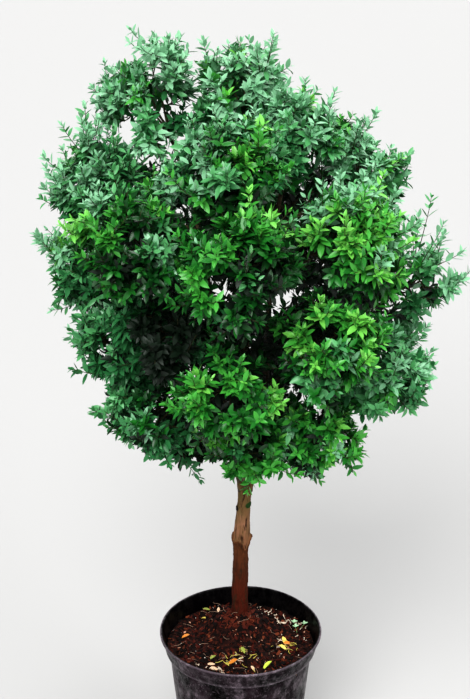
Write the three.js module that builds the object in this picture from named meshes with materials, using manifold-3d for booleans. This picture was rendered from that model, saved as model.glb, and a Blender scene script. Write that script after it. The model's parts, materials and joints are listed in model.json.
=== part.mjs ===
// A box plant trained as a half-standard: one clear stem in a round nursery pot, with a loose round crown
// of many foliage masses. Units are millimetres and +Z is up. -Y is the front. The origin is the centre
// of the pot's flat underside.
import * as THREE from "three";
import { mergeVertices } from "three/addons/utils/BufferGeometryUtils.js";
import Module from "manifold-3d";

const wasm = await Module();
wasm.setup();

// Kept between neighbouring pieces that would otherwise touch.
const GAP = 0.4;

// The pot: a thin wall that widens upwards, with a broader band under a rolled lip.
const POT_HEIGHT = 215;
const LIP_RADIUS = 120;
const LIP_WIDTH = 3.6;
const LIP_DEPTH = 4;
const BAND_HEIGHT = 28;
const BAND_TOP_RADIUS = 117.4;
const BAND_FOOT_RADIUS = 112;
const BODY_TOP_RADIUS = 106;
const FOOT_RADIUS = 87.5;
const WALL = 1.8;
const POT_SIDES = 40;
const DRAIN_HOLES = 8;
const DRAIN_RADIUS = 7;
const DRAIN_RING_RADIUS = 68;
const DRAIN_SIDES = 12;
const BAND_STEP = 3;
const EDGE_SOFTENING = 1;

// The compost: level below the lip, raised in a low mound round the foot of the trunk.
const SOIL_HEIGHT = 184;
// Swells on the compost: how high each is in mm, and how closely it repeats along x and y, in radians a mm.
const SOIL_SWELLS = [
  { height: 2.5, x: 0.071, y: 0.03, phase: 1.2 },
  { height: 1.5, x: -0.05, y: 0.12, phase: 0.4 },
  { height: 1.5, x: 0.13, y: 0.1, phase: 2.5 },
];
const SOIL_SIDES = 36;
const SOIL_RINGS = 7;
const MOUND_HEIGHT = 20;
const MOUND_FLAT_RADIUS = 26;
const MOUND_FOOT_RADIUS = 68;

// The trunk: where its centre line runs, and its radius at each height.
const TRUNK_FOOT = new THREE.Vector3(-1, 50, SOIL_HEIGHT + MOUND_HEIGHT + GAP);
const TRUNK_SCAR = new THREE.Vector3(-1.5, 43, 348);
const TRUNK_FORK = new THREE.Vector3(7, 30, 443);
const TRUNK_SIDES = 14;
const TRUNK_GIRTH = [
  { height: TRUNK_FOOT.z, radius: 17.5 },
  { height: 209, radius: 15.2 },
  { height: 217, radius: 13.2 },
  { height: 232, radius: 12.3 },
  { height: 258, radius: 12.2 },
  { height: 285, radius: 11.6 },
  { height: 312, radius: 10.8 },
  { height: 330, radius: 11.2 },
  { height: 341, radius: 13.6 },
  { height: TRUNK_SCAR.z, radius: 15.2 },
  { height: 355, radius: 13 },
  { height: 367, radius: 11.4 },
  { height: 385, radius: 10.4 },
  { height: 408, radius: 9.7 },
  { height: 428, radius: 10.3 },
  { height: TRUNK_FORK.z, radius: 12 },
];
const ROOT_LOBES = 5;
const ROOT_LOBE_DEPTH = 0.13;
const ROOT_FLARE_HEIGHT = 28;

// The boughs: leaders rise from the fork, and side boughs leave the leaders.
const LEADER_RING_RADIUS = 7.2;
const LEADER_RADIUS = 4.7;
const LEADER_TIP_RADIUS = 2.6;
const LEADER_RISE = 90;
const LEADER_SPREAD = 35;
const LEADER_BEND = 0.3;
const LEADER_SIDES = 8;
const LEADER_STEPS = 9;
const LAST_LEAVING_SHARE = 0.85;
const LEADER_SEARCH_STEP = 0.01;
const SIDE_RADIUS = 3.2;
const SIDE_TIP_RADIUS = 1.9;
const SIDE_SIDES = 6;
const SIDE_STEPS = 5;
const SIDE_SLANT = 0.6;
const SIDE_BEND = 0.3;
const SIDE_CLIMB = 0.28;

// The crown: masses round a vertical axis. A bearing is in degrees, 0 to the front and 90 to the right.
// out is how far the mass's middle lies from the axis, size is its half-width, and tone names its green.
const CROWN_AXIS = new THREE.Vector2(8, 20);
const CREVICE = 3;
const MASS_DETAIL = 2;
const INNER_FACE = 0.72;
const LEADER_REACH_START = 0.5;
const SIDE_REACH_START = 0.82;
const MASSES = [
  { name: "top", bearing: -171, height: 994, out: 70, size: 79, tone: "cool" },
  { name: "top_left", bearing: -119, height: 984, out: 140, size: 82, tone: "cool" },
  { name: "top_right", bearing: 68, height: 955, out: 64, size: 70, tone: "cool" },
  { name: "top_front", bearing: -12, height: 936, out: 124, size: 78, tone: "fresh" },
  { name: "upper_left", bearing: -97, height: 872, out: 196, size: 73, tone: "cool" },
  { name: "upper_right", bearing: 90, height: 896, out: 150, size: 69, tone: "cool" },
  { name: "upper_back", bearing: 180, height: 925, out: 158, size: 86, tone: "cool" },
  { name: "upper_back_right", bearing: 138, height: 874, out: 168, size: 79, tone: "deep" },
  { name: "front_left", bearing: -46, height: 850, out: 190, size: 84, tone: "fresh" },
  { name: "front", bearing: -3, height: 838, out: 194, size: 84, tone: "fresh" },
  { name: "front_right", bearing: 44, height: 850, out: 188, size: 87, tone: "fresh" },
  { name: "left", bearing: -88, height: 782, out: 203, size: 70, tone: "cool" },
  { name: "right", bearing: 88, height: 752, out: 222, size: 68, tone: "cool" },
  { name: "back_left", bearing: -138, height: 800, out: 195, size: 88, tone: "deep" },
  { name: "back", bearing: 178, height: 770, out: 192, size: 86, tone: "deep" },
  { name: "back_right", bearing: 136, height: 775, out: 192, size: 88, tone: "deep" },
  { name: "middle_left", bearing: -42, height: 728, out: 158, size: 70, tone: "deep" },
  { name: "middle_right", bearing: 32, height: 728, out: 186, size: 78, tone: "fresh" },
  { name: "low_front", bearing: -8, height: 668, out: 178, size: 76, tone: "fresh" },
  { name: "low_left", bearing: -74, height: 692, out: 172, size: 71, tone: "cool" },
  { name: "low_right", bearing: 71, height: 654, out: 174, size: 87, tone: "cool" },
  { name: "low_back_left", bearing: -132, height: 640, out: 152, size: 84, tone: "deep" },
  { name: "low_back_right", bearing: 126, height: 636, out: 150, size: 84, tone: "deep" },
  { name: "foot_front", bearing: 2, height: 575, out: 122, size: 62, tone: "fresh" },
  { name: "foot_left", bearing: -64, height: 596, out: 140, size: 72, tone: "cool" },
  { name: "foot_right", bearing: 48, height: 575, out: 118, size: 74, tone: "fresh" },
  { name: "foot_back", bearing: 180, height: 578, out: 134, size: 76, tone: "deep" },
  { name: "under_left", bearing: -100, height: 516, out: 82, size: 42, tone: "deep" },
];
const LEADERS = ["top_left", "top_right", "front", "upper_back"];
// Bumps on a mass: how strong each is, and how closely it repeats along x, y and z.
const BUMPS = [
  { strength: 0.1, x: 3.1, y: 0.8, z: 2.3 },
  { strength: 0.08, x: -2.9, y: 4.7, z: 1.1 },
  { strength: 0.06, x: 1.3, y: 3.7, z: 6.1 },
];
const GOLDEN_ANGLE = Math.PI * (3 - Math.sqrt(5));

const COLOURS = {
  plastic: 0x16161a,
  compost: 0x2e1710,
  bark: 0x5a3f2a,
  wood: 0x8d7a52,
  fresh: 0x2f9a3c,
  cool: 0x1f6b3f,
  deep: 0x144a26,
};

// ---- Helpers ----

// Keeps only the positions and shares them, so that a geometry is one closed surface.
function closed(geometry) {
  geometry.deleteAttribute("normal");
  geometry.deleteAttribute("uv");
  const merged = mergeVertices(geometry, 1e-3);
  const corners = merged.index.array;
  const kept = [];
  for (let i = 0; i < corners.length; i += 3) {
    const [a, b, c] = [corners[i], corners[i + 1], corners[i + 2]];
    if (a !== b && b !== c && c !== a) kept.push(a, b, c);
  }
  merged.setIndex(kept);
  return merged;
}

// Moves every vertex of a geometry to where place(vertex) says.
function reshape(geometry, place) {
  const position = geometry.getAttribute("position");
  const vertex = new THREE.Vector3();
  for (let i = 0; i < position.count; i += 1) {
    vertex.fromBufferAttribute(position, i);
    const moved = place(vertex);
    position.setXYZ(i, moved.x, moved.y, moved.z);
  }
  return geometry;
}

function toSolid(geometry) {
  return new wasm.Manifold(
    new wasm.Mesh({
      numProp: 3,
      vertProperties: new Float32Array(geometry.getAttribute("position").array),
      triVerts: new Uint32Array(geometry.index.array),
    }),
  );
}

function fromSolid(solid) {
  const mesh = solid.getMesh();
  const geometry = new THREE.BufferGeometry();
  geometry.setAttribute("position", new THREE.BufferAttribute(mesh.vertProperties, 3));
  geometry.setIndex(new THREE.BufferAttribute(mesh.triVerts, 1));
  return geometry;
}

// Turns a profile of [radius, height] points about the Z axis.
function turned(profile, sides) {
  const points = profile.map(([radius, height]) => new THREE.Vector2(radius, height));
  return closed(new THREE.LatheGeometry(points, sides).rotateX(Math.PI / 2));
}

// A limb of round section along a curve. radiusAt(share) is its radius at that share of its length.
function limb(curve, radiusAt, sides, steps) {
  const frames = curve.computeFrenetFrames(steps);
  return reshape(closed(new THREE.CylinderGeometry(1, 1, 1, sides, steps)), (v) => {
    const step = Math.round((v.y + 0.5) * steps);
    const share = step / steps;
    const across = frames.normals[step].clone();
    const along = frames.tangents[step];
    const third = across.clone().cross(along);
    return curve
      .getPointAt(share)
      .addScaledVector(across, v.x * radiusAt(share))
      .addScaledVector(third, v.z * radiusAt(share));
  });
}

function colouredMesh(name, geometry, color, roughness) {
  geometry.computeVertexNormals();
  const mesh = new THREE.Mesh(geometry, new THREE.MeshStandardMaterial({ color, roughness, metalness: 0 }));
  mesh.name = name;
  return mesh;
}

// ---- Pot ----

function potInnerRadius(height) {
  const share = height / (POT_HEIGHT - BAND_HEIGHT);
  return THREE.MathUtils.lerp(FOOT_RADIUS, BODY_TOP_RADIUS, share) - WALL;
}

function makePot() {
  const bandFoot = POT_HEIGHT - BAND_HEIGHT;
  const lipFoot = POT_HEIGHT - LIP_DEPTH;
  const shell = turned(
    [
      [0, 0],
      [FOOT_RADIUS - EDGE_SOFTENING, 0],
      [FOOT_RADIUS, EDGE_SOFTENING],
      [BODY_TOP_RADIUS, bandFoot - BAND_STEP],
      [BAND_FOOT_RADIUS, bandFoot],
      [BAND_TOP_RADIUS, lipFoot],
      [LIP_RADIUS, lipFoot + EDGE_SOFTENING],
      [LIP_RADIUS, POT_HEIGHT - EDGE_SOFTENING],
      [LIP_RADIUS - EDGE_SOFTENING, POT_HEIGHT],
      [LIP_RADIUS - LIP_WIDTH, POT_HEIGHT],
      [BAND_TOP_RADIUS - WALL, lipFoot],
      [BAND_FOOT_RADIUS - WALL, bandFoot],
      [BODY_TOP_RADIUS - WALL, bandFoot - BAND_STEP],
      [potInnerRadius(WALL), WALL],
      [0, WALL],
    ],
    POT_SIDES,
  );
  const drill = new THREE.CylinderGeometry(DRAIN_RADIUS, DRAIN_RADIUS, 4 * WALL, DRAIN_SIDES);
  drill.rotateX(Math.PI / 2);
  let solid = toSolid(shell);
  for (let i = 0; i < DRAIN_HOLES; i += 1) {
    const turn = (i * 2 * Math.PI) / DRAIN_HOLES;
    const hole = drill.clone();
    hole.translate(DRAIN_RING_RADIUS * Math.cos(turn), DRAIN_RING_RADIUS * Math.sin(turn), 0);
    solid = solid.subtract(toSolid(closed(hole)));
  }
  return colouredMesh("pot", fromSolid(solid), COLOURS.plastic, 0.35);
}

// ---- Compost ----

// Height of the compost's surface. It is flat under the trunk and uneven elsewhere.
function soilHeight(x, y) {
  const away = Math.hypot(x - TRUNK_FOOT.x, y - TRUNK_FOOT.y);
  const mound = 1 - THREE.MathUtils.smoothstep(away, MOUND_FLAT_RADIUS, MOUND_FOOT_RADIUS);
  const swell = SOIL_SWELLS.reduce(
    (sum, each) => sum + each.height * Math.sin(each.x * x + each.y * y + each.phase),
    0,
  );
  return SOIL_HEIGHT + MOUND_HEIGHT * mound + swell * (1 - mound);
}

// The surface's rings are centred on the trunk near it, and on the pot at the wall.
function makeSoil() {
  const low = WALL + GAP;
  const edge = potInnerRadius(SOIL_HEIGHT) - GAP;
  const foot = potInnerRadius(low) - GAP;
  const profile = [
    [0, low],
    [foot, low],
  ];
  for (let ring = SOIL_RINGS; ring >= 0; ring -= 1) {
    profile.push([(edge * ring) / SOIL_RINGS, SOIL_HEIGHT]);
  }
  const geometry = reshape(turned(profile, SOIL_SIDES), (v) => {
    const radius = Math.hypot(v.x, v.y);
    const onSurface = v.z === SOIL_HEIGHT && radius < edge - GAP;
    if (!onSurface) return v;
    const toTrunk = 1 - radius / edge;
    const x = v.x + TRUNK_FOOT.x * toTrunk;
    const y = v.y + TRUNK_FOOT.y * toTrunk;
    return new THREE.Vector3(x, y, soilHeight(x, y));
  });
  return colouredMesh("compost", geometry, COLOURS.compost, 0.95);
}

// ---- Trunk ----

// Rings lie level, so the cut at the compost and the top under the fork are flat.
function makeTrunk() {
  const line = new THREE.QuadraticBezierCurve3(TRUNK_FOOT, TRUNK_SCAR, TRUNK_FORK);
  const climb = TRUNK_FORK.z - TRUNK_FOOT.z;
  const steps = TRUNK_GIRTH.length - 1;
  const geometry = reshape(closed(new THREE.CylinderGeometry(1, 1, 1, TRUNK_SIDES, steps)), (v) => {
    const { height, radius } = TRUNK_GIRTH[Math.round((v.y + 0.5) * steps)];
    const centre = line.getPoint((height - TRUNK_FOOT.z) / climb);
    const flare = Math.max(0, 1 - (height - TRUNK_FOOT.z) / ROOT_FLARE_HEIGHT);
    const lobe = 1 + ROOT_LOBE_DEPTH * flare * Math.cos(ROOT_LOBES * Math.atan2(v.z, v.x));
    return new THREE.Vector3(centre.x + v.x * radius * lobe, centre.y - v.z * radius * lobe, height);
  });
  return colouredMesh("trunk", geometry, COLOURS.bark, 0.9);
}

// ---- Crown ----

// Each mass with its middle, and the way in which its bough reaches it: outwards and a little upwards.
function placeMasses() {
  return MASSES.map((mass, index) => {
    const turn = THREE.MathUtils.degToRad(mass.bearing);
    const outwards = new THREE.Vector3(Math.sin(turn), -Math.cos(turn), 0);
    const onAxis = new THREE.Vector3(CROWN_AXIS.x, CROWN_AXIS.y, mass.height);
    const middle = onAxis.clone().addScaledVector(outwards, mass.out);
    const startShare = LEADERS.includes(mass.name) ? LEADER_REACH_START : SIDE_REACH_START;
    const from = onAxis.setZ(THREE.MathUtils.lerp(TRUNK_FORK.z, mass.height, startShare));
    const reach = middle.clone().sub(from).normalize();
    return { ...mass, index, outwards, middle, reach };
  });
}

// How far a mass spreads in a direction, as a share of its size.
function bumpiness(direction, index) {
  let share = 1;
  BUMPS.forEach((bump, i) => {
    const phase = bump.x * direction.x + bump.y * direction.y + bump.z * direction.z;
    share += bump.strength * Math.sin(phase + (index + 1) * (i + 1) * GOLDEN_ANGLE);
  });
  return share;
}

// The flat limits that keep a mass clear of its neighbours and of the end of its own bough.
function limitsOf(mass, masses) {
  const limits = [{ normal: mass.reach.clone().negate(), distance: INNER_FACE * mass.size }];
  for (const other of masses) {
    if (other === mass) continue;
    const normal = other.middle.clone().sub(mass.middle);
    const apart = normal.length() - CREVICE;
    limits.push({ normal: normal.normalize(), distance: (apart * mass.size) / (mass.size + other.size) });
  }
  return limits;
}

function makeMass(mass, masses) {
  const limits = limitsOf(mass, masses);
  const geometry = reshape(closed(new THREE.IcosahedronGeometry(1, MASS_DETAIL)), (direction) => {
    let radius = mass.size * bumpiness(direction, mass.index);
    for (const { normal, distance } of limits) {
      const facing = direction.dot(normal);
      if (facing > 0) radius = Math.min(radius, distance / facing);
    }
    return direction.clone().multiplyScalar(radius).add(mass.middle);
  });
  return colouredMesh(`foliage_${mass.name}`, geometry, COLOURS[mass.tone], 0.7);
}

// ---- Boughs ----

// A bough ends just short of its mass's inner face.
function boughEnd(mass) {
  return mass.middle.clone().addScaledVector(mass.reach, -INNER_FACE * mass.size - GAP);
}

// A leader starts in the ring on top of the trunk, in the quarter that its mass is in, and rises upright.
function leaderCurve(mass) {
  const quarter = THREE.MathUtils.degToRad(90 * Math.round(mass.bearing / 90));
  const outwards = new THREE.Vector3(Math.sin(quarter), -Math.cos(quarter), 0);
  const start = TRUNK_FORK.clone().addScaledVector(outwards, LEADER_RING_RADIUS);
  start.z += GAP + (LEADER_RADIUS * LEADER_SPREAD) / LEADER_RISE;
  const end = boughEnd(mass);
  return new THREE.CubicBezierCurve3(
    start,
    start.clone().addScaledVector(outwards, LEADER_SPREAD).setZ(start.z + LEADER_RISE),
    end.clone().addScaledVector(mass.reach, -LEADER_BEND * start.distanceTo(end)),
    end,
  );
}

const taper = (from, to) => (share) => THREE.MathUtils.lerp(from, to, share);

// A side bough leaves a leader somewhat below its mass, slanting upwards.
function sideCurve(mass, leader, leavingHeight) {
  let share = 0;
  while (leader.curve.getPointAt(share).z < leavingHeight) share += LEADER_SEARCH_STEP;
  const on = leader.curve.getPointAt(share);
  const along = leader.curve.getTangentAt(share);
  const end = boughEnd(mass);
  const away = end.clone().sub(on);
  away.addScaledVector(along, -away.dot(along)).normalize();
  const clear = leader.radiusAt(share) + SIDE_SLANT * SIDE_RADIUS + GAP;
  const start = on.addScaledVector(away, clear);
  const leaving = away.multiplyScalar(Math.sqrt(1 - SIDE_SLANT ** 2)).addScaledVector(along, SIDE_SLANT);
  const bend = SIDE_BEND * start.distanceTo(end);
  return new THREE.CubicBezierCurve3(
    start,
    start.clone().addScaledVector(leaving, bend),
    end.clone().addScaledVector(mass.reach, -bend),
    end,
  );
}

// How badly a leader suits a side bough: degrees to turn, and millimetres by which the leader is too low.
function misfit(leader, mass, leavingHeight) {
  const turn = Math.abs((((leader.mass.bearing - mass.bearing) % 360) + 540) % 360 - 180);
  return turn + Math.max(0, leavingHeight - leader.lastHeight);
}

function makeBoughs(masses) {
  const leaders = LEADERS.map((name) => {
    const mass = masses.find((each) => each.name === name);
    const curve = leaderCurve(mass);
    const lastHeight = curve.getPointAt(LAST_LEAVING_SHARE).z;
    return { mass, curve, lastHeight, radiusAt: taper(LEADER_RADIUS, LEADER_TIP_RADIUS) };
  });
  return masses.map((mass) => {
    const name = `bough_${mass.name}`;
    const own = leaders.find((leader) => leader.mass === mass);
    if (own) {
      return colouredMesh(name, limb(own.curve, own.radiusAt, LEADER_SIDES, LEADER_STEPS), COLOURS.wood, 0.8);
    }
    const wanted = mass.height - SIDE_CLIMB * mass.out;
    const leader = leaders.reduce((a, b) => (misfit(b, mass, wanted) < misfit(a, mass, wanted) ? b : a));
    const curve = sideCurve(mass, leader, Math.min(wanted, leader.lastHeight));
    const shape = limb(curve, taper(SIDE_RADIUS, SIDE_TIP_RADIUS), SIDE_SIDES, SIDE_STEPS);
    return colouredMesh(name, shape, COLOURS.wood, 0.8);
  });
}

// ---- The plant in its pot ----

const masses = placeMasses();
const plant = new THREE.Group();
plant.add(makePot(), makeSoil(), makeTrunk());
plant.add(...makeBoughs(masses));
plant.add(...masses.map((mass) => makeMass(mass, masses)));

export default plant;
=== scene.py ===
"""Looks for a box plant trained as a half-standard, in a round nursery pot.

Everything is in metres in the frame's own axes: +Z is up, -Y is the front, and the pot stands on z = 0.
"""

import json
import math

import bpy
import numpy as np
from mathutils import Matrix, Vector, noise
from mathutils.bvhtree import BVHTree


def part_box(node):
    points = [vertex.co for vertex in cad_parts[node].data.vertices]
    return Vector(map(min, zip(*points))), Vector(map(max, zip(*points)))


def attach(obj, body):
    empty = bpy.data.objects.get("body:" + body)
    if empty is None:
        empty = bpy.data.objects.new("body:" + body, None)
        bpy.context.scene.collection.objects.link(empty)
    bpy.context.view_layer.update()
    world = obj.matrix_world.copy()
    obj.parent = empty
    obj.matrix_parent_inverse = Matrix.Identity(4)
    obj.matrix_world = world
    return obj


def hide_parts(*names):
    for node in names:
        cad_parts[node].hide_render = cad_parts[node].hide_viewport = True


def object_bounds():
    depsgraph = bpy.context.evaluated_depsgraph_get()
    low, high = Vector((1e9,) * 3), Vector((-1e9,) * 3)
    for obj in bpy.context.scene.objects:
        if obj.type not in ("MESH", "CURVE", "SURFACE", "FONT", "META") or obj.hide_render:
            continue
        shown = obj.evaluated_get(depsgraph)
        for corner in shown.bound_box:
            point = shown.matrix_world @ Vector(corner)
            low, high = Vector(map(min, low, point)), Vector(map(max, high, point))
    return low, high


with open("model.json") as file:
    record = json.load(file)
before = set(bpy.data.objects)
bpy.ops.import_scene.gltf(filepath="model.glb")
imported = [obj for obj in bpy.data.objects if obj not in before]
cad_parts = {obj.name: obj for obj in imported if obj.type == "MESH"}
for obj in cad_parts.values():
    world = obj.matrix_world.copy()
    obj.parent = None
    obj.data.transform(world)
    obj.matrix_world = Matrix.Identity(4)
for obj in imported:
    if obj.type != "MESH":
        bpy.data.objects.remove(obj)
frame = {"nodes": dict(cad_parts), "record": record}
CAD_BOX = [list(corner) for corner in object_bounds()]
SEED = 20
MM = 0.001
UP = np.array([0.0, 0.0, 1.0])
GOLDEN_ANGLE = math.pi * (3 - math.sqrt(5))

# ---- Camera, floor and light ----
CAMERA_PLACE = (-0.0082, -1.8164, 1.4102)
CAMERA_PITCH = math.radians(22.32)
CAMERA_LENS = 73.65
FLOOR_HALF = 300.0
FLOOR_COLOUR = (0.48, 0.475, 0.47)
SKY_COLOUR = (0.95, 0.98, 1.0)
SKY_STRENGTH = 0.45
# Each light: name, the direction it comes from, strength, and how wide it looks in radians.
LIGHTS = (
    ("key", (-0.3, -1.0, 1.0), 3.6, 0.7),
    ("back", (0.2, 0.7, 1.0), 2.0, 1.0),
    ("side", (1.0, -0.6, 0.6), 1.3, 0.9),
)
VIEW_GAMMA = 0.84          # deepens the shade between the leaves

# ---- Pot ----
POT_SIDES = 168
POT_FOOT = 0.729           # each share is of the rim's radius
POT_SHOULDER = 0.883
BAND_FOOT = 0.933
BAND_TOP = 0.978
BAND_HEIGHT = 28 * MM
BAND_STEP = 3 * MM
LIP_WIDTH = 3.6 * MM
LIP_DEPTH = 4 * MM
WALL = 1.8 * MM
POT_WOBBLE = 0.5 * MM      # how far its lip is out of round
POT_RIPPLE = 0.35 * MM
CORNER_RADIUS = 1.4 * MM
SEAM_BEARING = math.radians(-122)
SEAM_DEPTH = 0.5 * MM
SEAM_WIDTH = 1.6 * MM
EDGE_WEAR_AND_HIGHLIGHT = 2.2 * MM       # how far from the lip and the band's foot the plastic is painted pale, part wear and part painted highlight
DRAIN_HOLES = 8
DRAIN_RADIUS = 7 * MM
DRAIN_RING = 68 * MM

# ---- Compost ----
SOIL_SIDES = 150
SOIL_RINGS = 62
CRUMB_RELIEF = 1.5 * MM
LUMP_RELIEF = 2.2 * MM
CHIP_TILT = 0.42
CHIP_CORNERS = 7
TRUNK_CLEAR = 13 * MM
LEAF_LIFT = 4 * MM         # how far over the compost the fallen leaves lie
FIBRE_STEPS = 7
SEEDLING_LEAF = 5.5 * MM
HEAP_PLACE = (0, 43 * MM)      # compost and surface roots heaped round the trunk's foot
HEAP_HEIGHT = 13 * MM
HEAP_RADIUS = 22 * MM
# Lengths and places in the tables from here to the trunk are in millimetres, apart from the heap's.
BARK_CHIPS = (
    # name, count, shortest and longest, colour, roughness, and where the chips lie if not everywhere
    ("bark_chips_dark", 820, (4, 13), (14, 5, 3), 0.85),
    ("bark_chips_red", 520, (3, 12), (72, 22, 12), 0.75),
    ("bark_chips_brown", 240, (3, 10), (108, 52, 30), 0.8),
    ("bark_chips_pale", 110, (2, 6), (186, 140, 116), 0.8),
    ("white_grit", 46, (1.6, 3.8), (226, 220, 208), 0.8),
    ("heaped_bark", 230, (4, 11), (84, 33, 19), 0.8, HEAP_PLACE, 1.3 * HEAP_RADIUS),
)
FALLEN_LEAVES = (
    # name, shortest and longest, colour, then each leaf's bearing in degrees and distance from the middle
    ("fallen_lime", (21, 23), (206, 226, 84), ((-55, 68),)),
    ("fallen_yellow", (14, 17), (226, 206, 104), ((-6, 64), (8, 67), (130, 92))),
    ("fallen_orange", (14, 17), (204, 128, 36), ((167, 85), (-104, 49), (2, 71))),
    ("fallen_olive", (13, 16), (150, 160, 70), ((-80, 21), (121, 102), (-143, 51))),
    ("fallen_beige", (10, 13), (222, 190, 156), ((-121, 76), (-128, 70), (-74, 65), (117, 74))),
)
CURL_SPOTS = ((72, 62), (56, 68), (86, 44), (-44, -56), (-26, -66), (-2, -42), (66, 14), (42, 78))
SHRED_SPOTS = ((-3, -26), (4, -40), (-16, -48), (66, 4), (74, -10))
SEEDLING_SPOTS = ((92, 40), (86, 32), (82, 48))

# ---- Trunk and boughs ----
TRUNK_FOOT = (-1 * MM, 50 * MM)
TRUNK_SIDES = 90
TRUNK_RINGS = 270
SCAR_GAP_BEARING = math.radians(-62)
SCAR_GAP_DEPTH = 15 * MM
SCAR_HORNS = (math.radians(-8), math.radians(188))
SCAR_HORN_HEIGHT = 7 * MM
SCAR_REACH = 20 * MM       # how far below the scar the bare wood begins
KNOT_BEARING = math.radians(-160)
KNOT_DROP = 42 * MM        # below the fork
KNOT_RADIUS = 5 * MM
MOSS_BEARING = math.radians(-45)
MOSS_DROP = 34 * MM
MOSS_RADIUS = 6.5 * MM
ROOT_FLARE = 2.2 * MM
ROOT_FLARE_HEIGHT = 9 * MM
BARK_LIP = 1.3 * MM        # how far the old bark curls out at its upper edge
BOUGH_RINGS = 46
LEADER_RADIUS = 4 * MM

# ---- Crown ----
MASS_PREFIX = "foliage_"
BOUGH_PREFIX = "bough_"
LEAF_LENGTH = 18.5 * MM
LEAF_WIDTH = 0.40          # of its length
LEAF_SPREAD = 66           # degrees between a shoot and the leaves at its foot
LEAF_CLOSING = 38          # how much smaller that angle is at its tip
# How much a leaf folds, droops and twists.
LEAF_FORMS = ((0.30, 0.16, 0.05), (0.22, 0.05, -0.06), (0.36, 0.26, 0.0), (0.15, -0.04, 0.04))
FIRST_LIMBS = 6            # limbs that a bough splits into inside its mass
FIRST_REACH = 0.42         # of the way from a mass's middle to its surface
TUFT_REACH = 0.64          # of the way from a mass's middle to a tuft's tips, where its second limb ends
TUFT_SPACING = 46 * MM     # between neighbouring tufts on a mass
TUFT_HEIGHT = 0.93         # how far out the tufts' tips stand, as a share of the way to the surface
TUFT_UNEVENNESS = 0.10     # in how far out they stand
LIMB_UNEVENNESS = 1.0 * MM
SHOOTS_IN_TUFT = 4
SHOOTS_KEPT = 0.93         # of those
SHOOT_NODES = 6
SIDE_SHOOT_SHARE = 0.48
SIDE_SHOOT_LENGTHS = (14 * MM, 26 * MM)
TIP_INSIDE = 14 * MM       # how far inside its mass a tuft's tips stay, which leaves room for their leaves
HIDDEN_TIP_OUT = 12 * MM   # how far out of its mass a tip may stand where the mass faces its neighbours
SPRIG_SHARE = 0.6          # of the tufts, those with a sprig that stands out past them
FEWER_SPRIGS = {"top": 0.5, "top_right": 0.4, "upper_right": 0.5, "right": 0.7, "foot_right": 0.5}
SPRIG_OUT = (3 * MM, 22 * MM)      # how far out of its mass a sprig's tip may stand
SPRIG_REACH = (20 * MM, 45 * MM)   # how far past its tuft a sprig may run
TIP_ROOM = 6 * MM          # how far past the CAD box a shoot's tip may stand
INNER_SHOOTS = 24          # short shoots along each bough, inside the crown, whose leaves are painted dark as painted shade
INNER_LENGTHS = (30 * MM, 65 * MM)
# Radii at the foot and at the tip.
SECOND_RADII = (1.0 * MM, 0.6 * MM)
SHOOT_RADII = (0.8 * MM, 0.45 * MM)
SPRIG_RADII = (0.8 * MM, 0.4 * MM)
SIDE_SHOOT_RADII = (0.6 * MM, 0.4 * MM)
INNER_RADII = (0.9 * MM, 0.5 * MM)
LONG_RADII = (0.9 * MM, 0.4 * MM)
FOOT_PAINTED_SHADE = 1.6       # tone steps between the tip and the foot of a shoot, painted shade on the leaves inside the crown
# Tufts on a mass, as a share of the usual number.
DENSITY = {
    "right": 0.4, "back_right": 0.65, "upper_back_right": 0.65, "upper_right": 0.6, "under_left": 0.7,
    "top_left": 0.7, "top": 0.72, "upper_back": 0.75, "left": 0.85, "back_left": 0.85, "middle_left": 0.85,
    "low_back_left": 0.85, "low_back_right": 0.85, "foot_back": 0.85,
}
# Long shoots that stand out of the crown's outline or close a gap in it: the mass they leave, and where
# their tips are, in millimetres.
LONG_SHOOTS = (
    ("top_left", (-141, 0, 1084)), ("upper_left", (-202, 10, 1000)), ("upper_left", (-184, 10, 984)),
    ("upper_left", (-166, 0, 972)), ("top_left", (-120, -10, 948)), ("top_left", (-104, 20, 936)),
    ("top_left", (-136, 10, 940)), ("upper_left", (-198, 0, 966)), ("top", (40, 0, 1092)),
    ("upper_right", (172, -10, 996)), ("upper_right", (160, 10, 982)), ("right", (250, 0, 880)),
    ("right", (266, -10, 846)), ("upper_left", (-256, 0, 922)), ("left", (-270, -10, 832)),
    ("left", (-246, -10, 738)), ("low_right", (252, -10, 702)), ("foot_left", (-58, -20, 474)),
    ("foot_right", (114, 0, 462)),
)
LONG_SHOOT_SHARES = (1.0, 0.82, 0.66)      # how far towards its tip each shoot in a spray of three runs
LONG_SHOOT_SCATTER = 40 * MM
# How much brighter than its slot a mass is, in steps of tone: painted light and painted shade, set mass by
# mass.
BRIGHTNESS = {
    "top": 1.3, "top_left": 1.1, "top_right": 0.5, "upper_right": 0.5, "right": 0.7, "upper_left": 0.4,
    "upper_back": 0.7, "upper_back_right": 0.5, "front": -0.2, "front_left": 0.0, "front_right": 0.6,
    "middle_left": -1.3, "middle_right": 0.3, "low_right": 0.2, "low_front": 0.3, "foot_left": -0.2,
    "foot_right": -0.5, "top_front": 0.1, "under_left": -0.8, "low_left": -0.7, "left": 0.2,
    "back": 0.4, "back_left": 0.4, "back_right": 0.4, "low_back_left": 0.3, "low_back_right": 0.3,
}
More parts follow.
